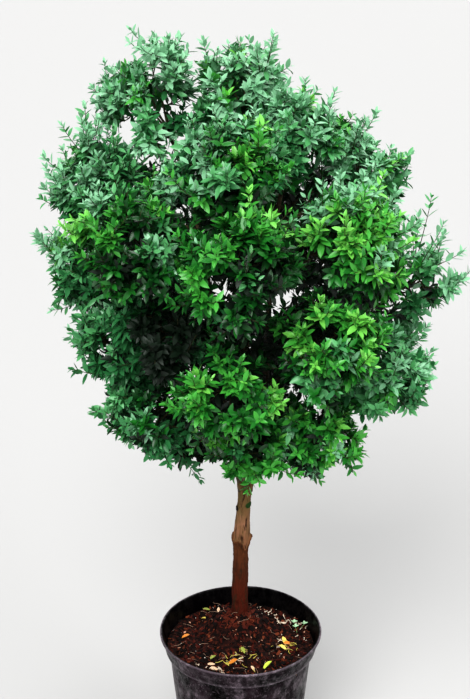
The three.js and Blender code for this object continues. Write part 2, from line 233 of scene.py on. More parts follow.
# How much bluer and how much brighter a slot's tufts are than the others.
SLOT_COOLNESS = {"leaf_fresh": -0.45, "leaf_cool": 0.35, "leaf_deep": 0.05}
SLOT_BRIGHTNESS = {"leaf_fresh": 0.65, "leaf_cool": 0.3, "leaf_deep": -0.8}
# Leaf colours. The pale blue-green cool tones stand for painted sky reflection and glare on the crown's top
# and sides, and shade is painted shade for leaves deep inside the crown.
LEAF_TONES = {
    # tone: (colour, roughness, slot)
    "lime": ((122, 200, 90), 0.36, "leaf_fresh"),
    "fresh": ((74, 164, 64), 0.36, "leaf_fresh"),
    "green": ((38, 120, 42), 0.36, "leaf_fresh"),
    "deep": ((15, 72, 24), 0.38, "leaf_deep"),
    "cool_light": ((138, 192, 152), 0.36, "leaf_cool"),
    "cool": ((92, 164, 104), 0.36, "leaf_cool"),
    "cool_deep": ((52, 122, 70), 0.4, "leaf_cool"),
    "shade": ((4, 30, 9), 0.55, "leaf_deep"),
}
TONE_NAMES = list(LEAF_TONES)
# Each list runs from its darkest tone to its brightest.
WARM_TONES = [TONE_NAMES.index(tone) for tone in ("shade", "deep", "green", "fresh", "lime")]
COLD_TONES = [TONE_NAMES.index(tone) for tone in ("cool_deep", "cool_deep", "cool", "cool_light")]


# ---- Small helpers ----

def unit(vectors):
    return vectors / np.maximum(np.linalg.norm(vectors, axis=-1, keepdims=True), 1e-12)


def bell(away, width):
    """1 at 0, falling smoothly to almost nothing at twice the width."""
    return np.exp(-((away / width) ** 2))


def bearings(count):
    """Angles spread evenly round a circle."""
    return np.linspace(0, 2 * math.pi, count, endpoint=False)


def between(first, second, angle):
    """Vectors turned by an angle from the first towards the second."""
    return first * np.cos(angle)[..., None] + second * np.sin(angle)[..., None]


def square_to(axis, vectors):
    """Unit vectors along the part of vectors that is at right angles to a unit axis."""
    return unit(vectors - np.sum(vectors * axis, -1, keepdims=True) * axis)


def turned_from(turn, bearing):
    """The angle from a bearing, between minus and plus half a turn."""
    return np.angle(np.exp(1j * (turn - bearing)))


def mesh_object(name, verts, faces, smooth=True):
    """A mesh from an array of vertices and an array of faces that all have the same number of corners."""
    faces = np.asarray(faces, np.int32)
    mesh = bpy.data.meshes.new(name)
    mesh.vertices.add(len(verts))
    mesh.vertices.foreach_set("co", np.asarray(verts, np.float32).ravel())
    count, corners = faces.shape
    mesh.loops.add(count * corners)
    mesh.loops.foreach_set("vertex_index", faces.ravel())
    mesh.polygons.add(count)
    mesh.polygons.foreach_set("loop_start", np.arange(count, dtype=np.int32) * corners)
    mesh.polygons.foreach_set("use_smooth", np.full(count, smooth))
    mesh.update(calc_edges=True)
    mesh.validate()
    piece = bpy.data.objects.new(name, mesh)
    bpy.context.scene.collection.objects.link(piece)
    return piece


def add_piece(piece, material, replaced):
    piece.data.materials.append(material)
    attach(piece, "root")
    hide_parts(*replaced)


def joined(parts):
    """Vertices and faces of several (vertices, faces) pairs as one pair."""
    verts, faces, start = [], [], 0
    for part_verts, part_faces in parts:
        verts.append(part_verts)
        faces.append(np.asarray(part_faces) + start)
        start += len(part_verts)
    return np.concatenate(verts), np.concatenate(faces)


def bezier(starts, leaving, ends, arriving, count):
    """Points along cubic curves, many at once. leaving and arriving are the curves' handles."""
    t = np.linspace(0, 1, count)[None, :, None]
    a, b = starts[:, None], (starts + leaving)[:, None]
    c, d = (ends - arriving)[:, None], ends[:, None]
    return (1 - t) ** 3 * a + 3 * t * (1 - t) ** 2 * b + 3 * t**2 * (1 - t) * c + t**3 * d


def curves(starts, leaving, ends, arriving, count, pulls=(0.35, 0.3)):
    """Curves that leave and arrive along directions, pulled out along them by shares of their span."""
    span = np.linalg.norm(ends - starts, axis=1)[:, None]
    return bezier(starts, leaving * span * pulls[0], ends, arriving * span * pulls[1], count)


def frames_along(paths):
    """Unit tangents and two unit normals at each point of many paths of the same length."""
    along = unit(np.gradient(paths, axis=1))
    side = np.where(np.abs(along[:, 0, 2:3]) < 0.9, UP, np.array([1.0, 0.0, 0.0]))
    across = np.empty_like(along)
    current = np.cross(along[:, 0], side)
    for k in range(paths.shape[1]):
        current = square_to(along[:, k], current)
        across[:, k] = current
    return along, across, np.cross(along, across)


def ring_faces(rings, sides):
    """Triangles through rings of points, with a fan at each end to one of the two points after the rings."""
    k = np.arange(rings - 1)[:, None] * sides
    i = np.arange(sides)
    j = (i + 1) % sides
    last, ends = (rings - 1) * sides, rings * sides
    strips = (
        np.stack([k + i, k + j, k + sides + j], -1).reshape(-1, 3),
        np.stack([k + i, k + sides + j, k + sides + i], -1).reshape(-1, 3),
        np.stack([j, i, np.full(sides, ends)], -1),
        np.stack([last + i, last + j, np.full(sides, ends + 1)], -1),
    )
    return np.vstack(strips)


def ring_surface(rings):
    """A closed surface through rings of equal numbers of points, with a fan over each end."""
    rings = np.asarray(rings)
    verts = np.vstack([rings.reshape(-1, 3), rings[0].mean(0), rings[-1].mean(0)])
    return verts, ring_faces(*rings.shape[:2])


def tubes(paths, radii, sides):
    """Closed tubes of triangles along many paths of the same length, each ending in a low cone."""
    many, points, _ = paths.shape
    along, across, third = frames_along(paths)
    ring = between(across[:, :, None], third[:, :, None], bearings(sides))
    rings = paths[:, :, None] + ring * radii[:, :, None, None]
    tips = np.stack([
        paths[:, 0] - along[:, 0] * radii[:, :1] * 0.5,
        paths[:, -1] + along[:, -1] * radii[:, -1:] * 0.8,
    ], axis=1)
    verts = np.concatenate([rings.reshape(many, -1, 3), tips], axis=1)
    starts = np.arange(many) * verts.shape[1]
    faces = ring_faces(points, sides)[None] + starts[:, None, None]
    return verts.reshape(-1, 3), faces.reshape(-1, 3)


# ---- Reading the frame ----

def node_points(name):
    """The different vertices of a CAD node."""
    points = np.array([v.co for v in frame["nodes"][name].data.vertices])
    return np.unique(points.round(6), axis=0)


def node_tree(name):
    mesh = frame["nodes"][name].data
    corners = [tuple(v.co) for v in mesh.vertices]
    return BVHTree.FromPolygons(corners, [tuple(p.vertices) for p in mesh.polygons])


def bough_rings(name, towards):
    """Centres and radii of a CAD bough's rings, from its start to its end near the point towards."""
    points = node_points(name)
    order = np.argsort(np.linalg.norm(points - towards, axis=1))
    # The cap's middle is the one point that the others of the end ring lie round at one distance.
    for sides in (8, 6):
        near = points[order[: sides + 1]]
        middle = near.mean(0)
        offsets = np.sort(np.linalg.norm(near - middle, axis=1))
        if offsets[0] < 0.2 * offsets[1] and offsets[-1] < 1.3 * offsets[1]:
            break
    left, centre = points, middle
    centres, radii = [], []
    first = True
    while len(left) >= sides:
        take = sides + 1 if first or len(left) <= sides + 1 else sides
        picked = np.argsort(np.linalg.norm(left - centre, axis=1))[:take]
        ring = left[picked]
        left = np.delete(left, picked, axis=0)
        centre = ring.mean(0)
        radii.append(np.linalg.norm(ring - centre, axis=1).max())
        centres.append(centre)
        if not first:
            centre = centre + (centre - centres[-2])
        first = False
    return np.array(centres[::-1]), np.array(radii[::-1])


def resampled(points, values, count):
    """Points spread evenly along a smooth curve through points, with values carried along."""
    padded = np.vstack([2 * points[0] - points[1], points, 2 * points[-1] - points[-2]])
    fine, fine_values = [], []
    steps = 12
    for k in range(1, len(padded) - 2):
        p0, p1, p2, p3 = padded[k - 1: k + 3]
        for s in range(steps):
            t = s / steps
            fine.append(0.5 * (2 * p1 + (p2 - p0) * t + (2 * p0 - 5 * p1 + 4 * p2 - p3) * t**2
                               + (3 * p1 - p0 - 3 * p2 + p3) * t**3))
            fine_values.append(values[k - 1] * (1 - t) + values[k] * t)
    fine.append(points[-1])
    fine_values.append(values[-1])
    fine = np.array(fine)
    run = np.concatenate([[0], np.cumsum(np.linalg.norm(np.diff(fine, axis=0), axis=1))])
    wanted = np.linspace(0, run[-1], count)
    path = np.stack([np.interp(wanted, run, fine[:, axis]) for axis in range(3)], axis=1)
    return path, np.interp(wanted, run, fine_values)


# ---- Materials ----

def srgb(*display):
    """A linear colour from 0 to 255 display values."""
    return tuple((c / 255 / 12.92) if c <= 10 else ((c / 255 + 0.055) / 1.055) ** 2.4 for c in display)


def material(name, colour, roughness, specular=0.5):
    made = bpy.data.materials.new(name)
    made.use_nodes = True
    shader = made.node_tree.nodes["Principled BSDF"]
    shader.inputs["Base Color"].default_value = (*colour, 1)
    shader.inputs["Roughness"].default_value = roughness
    shader.inputs["Specular IOR Level"].default_value = specular
    return made


class Skin:
    """A material whose colour, roughness and relief are driven by nodes."""

    def __init__(self, name, colour, roughness, specular=0.5):
        self.made = material(name, colour, roughness, specular)
        self.nodes, self.links = self.made.node_tree.nodes, self.made.node_tree.links
        self.shader = self.nodes["Principled BSDF"]
        self.place = self.nodes.new("ShaderNodeTexCoord").outputs["Object"]

    def noise(self, scale, detail, roughness, stretch=(1, 1, 1)):
        mapping = self.nodes.new("ShaderNodeMapping")
        mapping.inputs["Scale"].default_value = stretch
        self.links.new(self.place, mapping.inputs["Vector"])
        made = self.nodes.new("ShaderNodeTexNoise")
        made.inputs["Scale"].default_value = scale
        made.inputs["Detail"].default_value = detail
        made.inputs["Roughness"].default_value = roughness
        self.links.new(mapping.outputs["Vector"], made.inputs["Vector"])
        return made.outputs["Fac"]

    def ramp(self, value, *stops):
        made = self.nodes.new("ShaderNodeValToRGB")
        band = made.color_ramp
        while len(band.elements) < len(stops):
            band.elements.new(0.5)
        for element, (position, colour) in zip(band.elements, stops):
            element.position = position
            element.color = (*colour, 1)
        self.links.new(value, made.inputs["Fac"])
        return made.outputs["Color"]

    def mask(self, value, low, high):
        """0 up to low and 1 from high."""
        return self.ramp(value, (low, (0, 0, 0)), (high, (1, 1, 1)))

    def scaled(self, value, low, high, new_low=0.0, new_high=1.0):
        """The range from low to high moved onto the range from new_low to new_high."""
        made = self.nodes.new("ShaderNodeMapRange")
        limits = (("From Min", low), ("From Max", high), ("To Min", new_low), ("To Max", new_high))
        for socket, limit in limits:
            made.inputs[socket].default_value = limit
        self.links.new(value, made.inputs["Value"])
        return made.outputs["Result"]

    def maths(self, operation, first, second):
        """One value from a socket and a second socket or number."""
        made = self.nodes.new("ShaderNodeMath")
        made.operation = operation
        self.links.new(first, made.inputs[0])
        if isinstance(second, float):
            made.inputs[1].default_value = second
        else:
            self.links.new(second, made.inputs[1])
        return made.outputs["Value"]

    def mix(self, factor, first, second, amount=None):
        """A mix of two colours, each a colour or a socket. amount scales the factor."""
        made = self.nodes.new("ShaderNodeMix")
        made.data_type = "RGBA"
        if amount is not None:
            factor = self.maths("MULTIPLY", factor, amount)
        self.links.new(factor, made.inputs["Factor"])
        for socket, value in (("A", first), ("B", second)):
            target = next(i for i in made.inputs if i.name == socket and i.type == "RGBA")
            if isinstance(value, tuple):
                target.default_value = (*value, 1)
            else:
                self.links.new(value, target)
        return next(o for o in made.outputs if o.type == "RGBA")

    def attribute(self, name):
        made = self.nodes.new("ShaderNodeAttribute")
        made.attribute_name = name
        return made.outputs["Fac"]

    def drive(self, socket, value):
        self.links.new(value, self.shader.inputs[socket])

    def bump(self, height, strength, distance):
        made = self.nodes.new("ShaderNodeBump")
        made.inputs["Strength"].default_value = strength
        made.inputs["Distance"].default_value = distance
        self.links.new(height, made.inputs["Height"])
        self.drive("Normal", made.outputs["Normal"])


def store(piece, name, values):
    """Keeps one number for each vertex, for the material to read."""
    layer = piece.data.attributes.new(name, "FLOAT", "POINT")
    layer.data.foreach_set("value", np.asarray(values, np.float32))


# ---- Camera, floor and light ----

def make_camera():
    data = bpy.data.cameras.new("camera")
    data.lens = CAMERA_LENS
    data.clip_end = 2 * FLOOR_HALF
    camera = bpy.data.objects.new("camera", data)
    camera.location = CAMERA_PLACE
    camera.rotation_euler = (math.pi / 2 - CAMERA_PITCH, 0, 0)
    bpy.context.scene.collection.objects.link(camera)
    bpy.context.scene.camera = camera


def make_floor():
    corners = [(-FLOOR_HALF, -FLOOR_HALF, 0), (FLOOR_HALF, -FLOOR_HALF, 0),
               (FLOOR_HALF, FLOOR_HALF, 0), (-FLOOR_HALF, FLOOR_HALF, 0)]
    floor = mesh_object("floor", np.array(corners, float), [[0, 1, 2, 3]], smooth=False)
    floor.data.materials.append(material("floor", FLOOR_COLOUR, 0.9, 0.1))


def far_light(name, comes_from, strength, width):
    data = bpy.data.lights.new(name, "SUN")
    data.energy = strength
    data.angle = width
    light = bpy.data.objects.new(name, data)
    light.rotation_euler = Vector(comes_from).to_track_quat("Z", "Y").to_euler()
    bpy.context.scene.collection.objects.link(light)


def make_light():
    world = bpy.data.worlds.new("sky")
    world.use_nodes = True
    background = world.node_tree.nodes["Background"]
    background.inputs["Color"].default_value = (*SKY_COLOUR, 1)
    background.inputs["Strength"].default_value = SKY_STRENGTH
    bpy.context.scene.world = world
    for light in LIGHTS:
        far_light(*light)
    bpy.context.scene.view_settings.view_transform = "Standard"
    bpy.context.scene.view_settings.gamma = VIEW_GAMMA


# ---- Pot ----

def rounded(outline, corner_radius, steps=4):
    """An outline in which every inner corner is replaced by a short curve."""
    outline = np.asarray(outline, float)
    points = [outline[0]]
    for before, corner, after in zip(outline[:-2], outline[1:-1], outline[2:]):
        inward, outward = before - corner, after - corner
        reach_in = min(corner_radius, 0.45 * np.linalg.norm(inward))
        reach_out = min(corner_radius, 0.45 * np.linalg.norm(outward))
        a = corner + unit(inward) * reach_in
        b = corner + unit(outward) * reach_out
        for t in np.linspace(0, 1, steps):
            points.append((1 - t) ** 2 * a + 2 * t * (1 - t) * corner + t**2 * b)
    points.append(outline[-1])
    return np.array(points)


def subdivided(outline, longest):
    """An outline with points added so that no step is longer than longest."""
    points = [outline[0]]
    for a, b in zip(outline[:-1], outline[1:]):
        steps = max(1, int(math.ceil(np.linalg.norm(b - a) / longest)))
        for s in range(1, steps + 1):
            points.append(a + (b - a) * s / steps)
    return np.array(points)


def pot_outline():
    """Radius and height of the pot's wall, from the middle of its underside, over the lip, to its floor."""
    rim, _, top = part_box("pot")[1]
    band_foot, lip_foot = top - BAND_HEIGHT, top - LIP_DEPTH
    outline = [
        (rim * 0.02, 0), (rim * POT_FOOT, 0), (rim * POT_SHOULDER, band_foot - BAND_STEP),
        (rim * BAND_FOOT, band_foot), (rim * BAND_TOP, lip_foot), (rim, lip_foot + 0.2 * MM),
        (rim, top), (rim - LIP_WIDTH, top), (rim * BAND_TOP - WALL, lip_foot),
        (rim * BAND_FOOT - WALL, band_foot), (rim * POT_SHOULDER - WALL, band_foot - BAND_STEP),
        (rim * POT_FOOT - WALL, WALL), (rim * 0.02, WALL),
    ]
    return subdivided(rounded(outline, CORNER_RADIUS), 5 * MM)


def make_pot():
    outline = pot_outline()
    top = outline[:, 1].max()
    turn = bearings(POT_SIDES)
    rings = []
    for radius, height in outline:
        # A thin pot is never quite round, and its wall ripples a little more between lip and foot.
        wobble = POT_WOBBLE * np.sin(2 * turn + 0.6) * height / top
        ripple = POT_RIPPLE * np.sin(5 * turn + 9 * height) * np.sin(37 * height)
        seam = SEAM_DEPTH * bell(turned_from(turn, SEAM_BEARING) * radius, SEAM_WIDTH)
        r = radius + (wobble + ripple - seam) * min(1, radius / (60 * MM))
        rings.append(np.stack([r * np.cos(turn), r * np.sin(turn), np.full(POT_SIDES, height)], 1))
    pot = mesh_object("pot_shell", *ring_surface(rings))
    lip = int(np.argmax(outline[:, 1]))
    outside = np.repeat(np.arange(len(outline)) <= lip, POT_SIDES)
    store(pot, "outside", np.concatenate([outside, [1, 0]]))
    # A pale band at the lip and at the band's foot: wear, and painted highlight along these edges.
    edge_wear_and_highlight = bell(outline[:, 1] - (top - BAND_HEIGHT), EDGE_WEAR_AND_HIGHLIGHT) + bell(outline[:, 1] - top, EDGE_WEAR_AND_HIGHLIGHT)
    store(pot, "edge", np.concatenate([np.repeat(edge_wear_and_highlight, POT_SIDES), [0, 0]]))
    holes = []
    for k in range(DRAIN_HOLES):
        bearing = k * 2 * math.pi / DRAIN_HOLES
        middle = np.array([math.cos(bearing), math.sin(bearing), 0]) * DRAIN_RING
        path = middle + np.linspace(-3, 5, 2)[:, None] * UP * MM
        holes.append(tubes(path[None], np.full((1, 2), DRAIN_RADIUS), 20))
    cutter = mesh_object("drain_cutter", *joined(holes))
    cut = pot.modifiers.new("drain", "BOOLEAN")
    cut.operation = "DIFFERENCE"
    cut.solver = "EXACT"
    cut.object = cutter
    evaluated = pot.evaluated_get(bpy.context.evaluated_depsgraph_get())
    drilled = bpy.data.meshes.new_from_object(evaluated)
    pot.modifiers.clear()
    pot.data = drilled
    bpy.data.objects.remove(cutter)
    add_piece(pot, pot_material(), ["pot"])


def pot_material():
    """Glossy black plastic, dulled by dust and splashes, with fine scratches. Its purple-grey blotches are
    dust and painted reflection, its pale streaks scuffs and painted highlight, its pale lip and band foot
    wear and painted highlight, and its inside is painted near-black as painted shade.
    """
    skin = Skin("scuffed_black_plastic", srgb(10, 9, 11), 0.3, 0.1)
    dust_and_reflection_patches = skin.noise(22, 5, 0.6, stretch=(1, 1, 0.8))
    specks = skin.noise(260, 4, 0.7)
    streaks = skin.noise(64, 9, 0.76, stretch=(1, 1, 0.75))
    scuff_and_highlight_mask = skin.mask(streaks, 0.53, 0.7)
    # Purple-grey blotches: dust, and painted reflection on the glossy wall.
    colour = skin.mix(skin.mask(dust_and_reflection_patches, 0.4, 0.7), srgb(2, 1, 1), srgb(50, 38, 45))
    # Pale lilac streaks: scuffs, and painted highlights where the glossy wall catches the light.
    colour = skin.mix(scuff_and_highlight_mask, colour, srgb(128, 110, 122), amount=0.6)
    colour = skin.mix(skin.mask(specks, 0.58, 0.66), colour, srgb(140, 124, 134), amount=0.35)
    # The lip and the band's foot are painted pale: wear, and painted highlight along these edges.
    wear_and_highlight = skin.maths("MULTIPLY", skin.attribute("edge"), skin.maths("ADD", scuff_and_highlight_mask, 0.4))
    colour = skin.mix(wear_and_highlight, colour, srgb(150, 136, 146), amount=0.7)
    # The inside of the pot is painted near-black and unscuffed: painted shade in the pot's hollow.
    skin.drive("Base Color", skin.mix(skin.attribute("outside"), srgb(4, 3, 4), colour))
    skin.drive("Specular IOR Level", skin.scaled(streaks, 0.44, 0.62, 0.02, 0.4))
    skin.drive("Roughness", skin.scaled(dust_and_reflection_patches, 0.0, 1.0, 0.2, 0.5))
    skin.bump(specks, 0.15, 0.4 * MM)
    return skin.made


# ---- Compost and what lies on it ----

class Ground:
    """The compost's surface: the CAD surface with crumbs, lumps and a heap, run on over the pot's ledge."""

    def __init__(self):
        self.tree = node_tree("compost")
        low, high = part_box("compost")
        rim, _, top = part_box("pot")[1]
        self.cad_reach = high[0]
        self.reach = rim * BAND_FOOT - WALL - 0.4 * MM
        self.ledge = top - BAND_HEIGHT
        self.ceiling = high[2] + 0.05
        self.bottom = low[2]

    def height(self, x, y):
        away = math.hypot(x, y)
        limit = self.cad_reach - 0.6 * MM
        shrink = min(1.0, limit / max(away, 1e-9))
        hit = self.tree.ray_cast(Vector((x * shrink, y * shrink, self.ceiling)), Vector((0, 0, -1)))
        crumbs = noise.fractal(Vector((x * 95, y * 95, 3.1)), 0.8, 2.1, 5)
        lumps = noise.noise(Vector((x * 38, y * 38, 8.4)))
        from_heap = math.hypot(x - HEAP_PLACE[0], y - HEAP_PLACE[1])
        heap = HEAP_HEIGHT * bell(from_heap, HEAP_RADIUS)
        level = hit[0].z + CRUMB_RELIEF * crumbs + LUMP_RELIEF * lumps + heap
        near_wall = min(1.0, max(0.0, (away - limit + 8 * MM) / (8 * MM)))
        return level + near_wall * max(0.0, self.ledge + 1.5 * MM + 0.5 * CRUMB_RELIEF * crumbs - level)

    def normal(self, x, y, step=2 * MM):
        rise_x = self.height(x + step, y) - self.height(x - step, y)
        rise_y = self.height(x, y + step) - self.height(x, y - step)
        return unit(np.array([-rise_x, -rise_y, 2 * step]))


def make_ground_surface(ground):
    """Fine rings from the middle of the compost to the pot's wall, then down the wall to its floor."""
    turn = bearings(SOIL_SIDES)
    rings = []
    for radius in np.linspace(0.6 * MM, ground.reach - 0.3 * MM, SOIL_RINGS):
        ring = [(radius * math.cos(a), radius * math.sin(a)) for a in turn]
        rings.append([(x, y, ground.height(x, y)) for x, y in ring])
    shoulder = ground.cad_reach - 0.3 * MM
    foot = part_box("pot")[1][0] * POT_FOOT - WALL - 0.6 * MM
    for radius, height in ((shoulder, ground.ledge - 4 * MM), (foot, ground.bottom)):
        rings.append([(radius * math.cos(a), radius * math.sin(a), height) for a in turn])
    return mesh_object("compost_surface", *ring_surface(rings))


def chips(count, ground, rng, sizes, middle=(0, 0), reach=None):
    """Flat flakes of bark with ragged outlines, lying at all angles within reach of middle."""
    shortest, longest = np.array(sizes) * MM
    corners = CHIP_CORNERS
    flat = [(0, k, k + 1) for k in range(1, corners - 1)]
    under = [(corners, corners + k + 1, corners + k) for _, k, _ in flat]
    edge = []
    for k in range(corners):
        n = (k + 1) % corners
        edge += [(k, corners + k, corners + n), (k, corners + n, n)]
    faces = np.array(flat + under + edge)
    flakes = []
    for _ in range(count):
        radius = (reach or ground.reach) * math.sqrt(rng.uniform(0.0, 0.97))
        bearing = rng.uniform(0, 2 * math.pi)
        x, y = middle[0] + radius * math.cos(bearing), middle[1] + radius * math.sin(bearing)
        if math.hypot(x - TRUNK_FOOT[0], y - TRUNK_FOOT[1]) < TRUNK_CLEAR:
            continue
        length = rng.uniform(shortest, longest)
        width = length * rng.uniform(0.28, 0.8)
        thick = length * rng.uniform(0.06, 0.22)
        angle = np.sort(rng.uniform(0, 2 * math.pi, corners))
        wide = rng.uniform(0.75, 1.1, corners)
        outline = np.stack([np.cos(angle) * wide * length / 2, np.sin(angle) * wide * width / 2], 1)
        bend = rng.uniform(-0.35, 0.35) * (outline[:, 0] / length) ** 2 * length
        upper = np.column_stack([outline, bend + thick / 2])
        lower = np.column_stack([outline * 0.92, bend - thick / 2])
        normal = unit(ground.normal(x, y) + rng.normal(0, CHIP_TILT, 3) * (1, 1, 0.3))
        across = unit(np.cross(normal, rng.normal(0, 1, 3)))
        axes = np.stack([across, np.cross(across, normal), normal])
        place = np.array([x, y, ground.height(x, y) + thick * 0.3])
        flakes.append((np.vstack([upper, lower]) @ axes + place, faces))
    return joined(flakes)


def lying_leaves(places, ground, rng, lengths):
    """Fallen leaves at (bearing in degrees, distance from the pot's middle in millimetres)."""
    shortest, longest = np.array(lengths) * MM
    shapes, faces = leaf_templates()
    leaves = []
    for index, (bearing, distance) in enumerate(places):
        x = distance * MM * math.cos(math.radians(bearing))
        y = distance * MM * math.sin(math.radians(bearing))
        normal = unit(UP + rng.normal(0, 0.2, 3) + [0, -0.25, 0])
        along = unit(np.cross(normal, rng.normal(0, 1, 3)))
        axes = np.stack([along, np.cross(normal, along), normal])
        shape = shapes[index % len(shapes)] * [1, 1.05, 1.3] - [0.5, 0, 0]
        place = [x, y, ground.height(x, y) + LEAF_LIFT]
        leaves.append((shape * rng.uniform(shortest, longest) @ axes + place, faces))
    return joined(leaves)


def fibres(count, ground, rng, lengths, radius, spots=None):
    """Thin curled bits: dry roots, straws and shreds, over all the compost or near some spots."""
    shortest, longest = np.array(lengths) * MM
    paths = []
    for k in range(count):
        if spots is None:
            distance = ground.reach * math.sqrt(rng.uniform(0.02, 0.92))
            bearing = rng.uniform(0, 2 * math.pi)
            x, y = distance * math.cos(bearing), distance * math.sin(bearing)
        else:
            x, y = np.array(spots[k % len(spots)]) * MM + rng.normal(0, 8 * MM, 2)
        length = rng.uniform(shortest, longest)
        heading = rng.uniform(0, 2 * math.pi)
        curl = rng.normal(0, 2.2 if spots is None else 1.1)
        point = np.array([x, y, ground.height(x, y) + 2.0 * MM])
        path = [point]
        for _ in range(FIBRE_STEPS):
            heading += curl / FIBRE_STEPS
            rise = rng.uniform(-0.35, 0.45)
            point = point + np.array([math.cos(heading), math.sin(heading), rise]) * length / FIBRE_STEPS
            path.append(point)
        paths.append(path)
    radii = np.full((count, FIBRE_STEPS + 1), radius) * np.linspace(1, 0.5, FIBRE_STEPS + 1)
    return tubes(np.array(paths), radii, 4)


def make_compost():
    rng = np.random.default_rng(SEED + 1)
    ground = Ground()
    soil = Skin("damp_compost", srgb(40, 16, 10), 0.85, 0.15)
    crumbs = soil.noise(210, 6, 0.7)
    colour = soil.ramp(crumbs, (0.38, srgb(8, 3, 2)), (0.54, srgb(40, 14, 8)), (0.70, srgb(88, 38, 22)))
    soil.drive("Base Color", colour)
    soil.bump(crumbs, 0.8, 1.0 * MM)
    add_piece(make_ground_surface(ground), soil.made, ["compost"])

    for name, count, sizes, colour, roughness, *where in BARK_CHIPS:
        piece = mesh_object(name, *chips(count, ground, rng, sizes, *where), smooth=False)
        add_piece(piece, material(name, srgb(*colour), roughness, 0.15), ["compost"])

    for name, lengths, colour, places in FALLEN_LEAVES:
        piece = mesh_object(name, *lying_leaves(places, ground, rng, lengths))
        add_piece(piece, material(name, srgb(*colour), 0.5), ["compost"])

    make_fibres("dry_shreds", (150, 120, 100), 0.8, 60, ground, rng, (8, 22), 0.45 * MM)
    make_fibres("pale_curls", (222, 206, 184), 0.75, 54, ground, rng, (4, 12), 0.9 * MM, CURL_SPOTS)
    make_seedlings(ground, rng)
    make_fibres("yellow_shreds", (196, 184, 84), 0.7, 34, ground, rng, (6, 13), 0.8 * MM, SHRED_SPOTS)


def make_fibres(name, colour, roughness, *how):
    piece = mesh_object(name, *fibres(*how))
    add_piece(piece, material(name, srgb(*colour), roughness), ["compost"])


def make_seedlings(ground, rng):
    """Tiny weeds: a thread of stem with a few pale round leaves at its top."""
    stems, leaves = [], []
    shapes, faces = leaf_templates()
    lean = np.array([0, 0, 4 * MM])
    for x, y in np.array(SEEDLING_SPOTS) * MM:
        base = np.array([x, y, ground.height(x, y)])
        top = base + np.array([rng.normal(0, 3 * MM), rng.normal(0, 3 * MM), 9 * MM])
        stems.append(bezier(base[None], lean[None], top[None], lean[None], 6)[0])
        for k in range(4):
            bearing = k * math.pi / 2 + rng.uniform(-0.4, 0.4)
            along = unit(np.array([math.cos(bearing), math.sin(bearing), 0.25]))
            normal = unit(UP - along * along[2])
            axes = np.stack([along, np.cross(normal, along), normal])
            leaves.append((shapes[3] * [1, 1.7, 1] * SEEDLING_LEAF @ axes + top, faces))
    stems = tubes(np.array(stems), np.full((len(stems), 6), 0.4 * MM), 5)
    green = material("seedling_stem", srgb(120, 150, 90), 0.6)
    add_piece(mesh_object("seedling_stems", *stems), green, ["compost"])
    pale = material("seedling_leaf", srgb(170, 208, 168), 0.5)
    add_piece(mesh_object("seedling_leaves", *joined(leaves)), pale, ["compost"])


# ---- Trunk and boughs ----

def trunk_rings():
    """Centres and radii of the CAD trunk's level rings, from its foot to its fork."""
    points = node_points("trunk")
    centres, radii = [], []
    for level in np.unique(points[:, 2].round(4)):
        ring = points[np.abs(points[:, 2] - level) < 0.2 * MM]
        if len(ring) < 8:
            continue
        middle = (ring.min(0) + ring.max(0)) / 2
        away = np.linalg.norm(ring - middle, axis=1)
        centres.append(middle)
        radii.append(away[away > 2 * MM].mean())
    return np.array(centres), np.array(radii)


def bark_edge(turn, teeth, scar):
    """Height of the old bark's ragged upper edge at each bearing."""
    ragged = np.interp(turn, np.append(bearings(len(teeth)), 2 * math.pi), np.append(teeth, teeth[0]))
    gap = bell(turned_from(turn, SCAR_GAP_BEARING), 0.42)
    horns = sum(bell(turned_from(turn, bearing), 0.3) for bearing in SCAR_HORNS)
    return scar + ragged + SCAR_HORN_HEIGHT * horns - SCAR_GAP_DEPTH * gap


def spot(turn, height, bearing, level, radius, girth):
    """1 in the middle of a round spot on the trunk, falling to 0 at its edge."""
    away = np.hypot(turned_from(turn, bearing) * girth, height - level) / radius
    return np.clip(1 - away**2, 0, 1)


def relief_round(direction, width, height, kind, *settings):
    """A kind of noise at each bearing round the trunk."""
    return np.array([kind(Vector((c * width, s * width, height)), *settings) for c, s in direction])


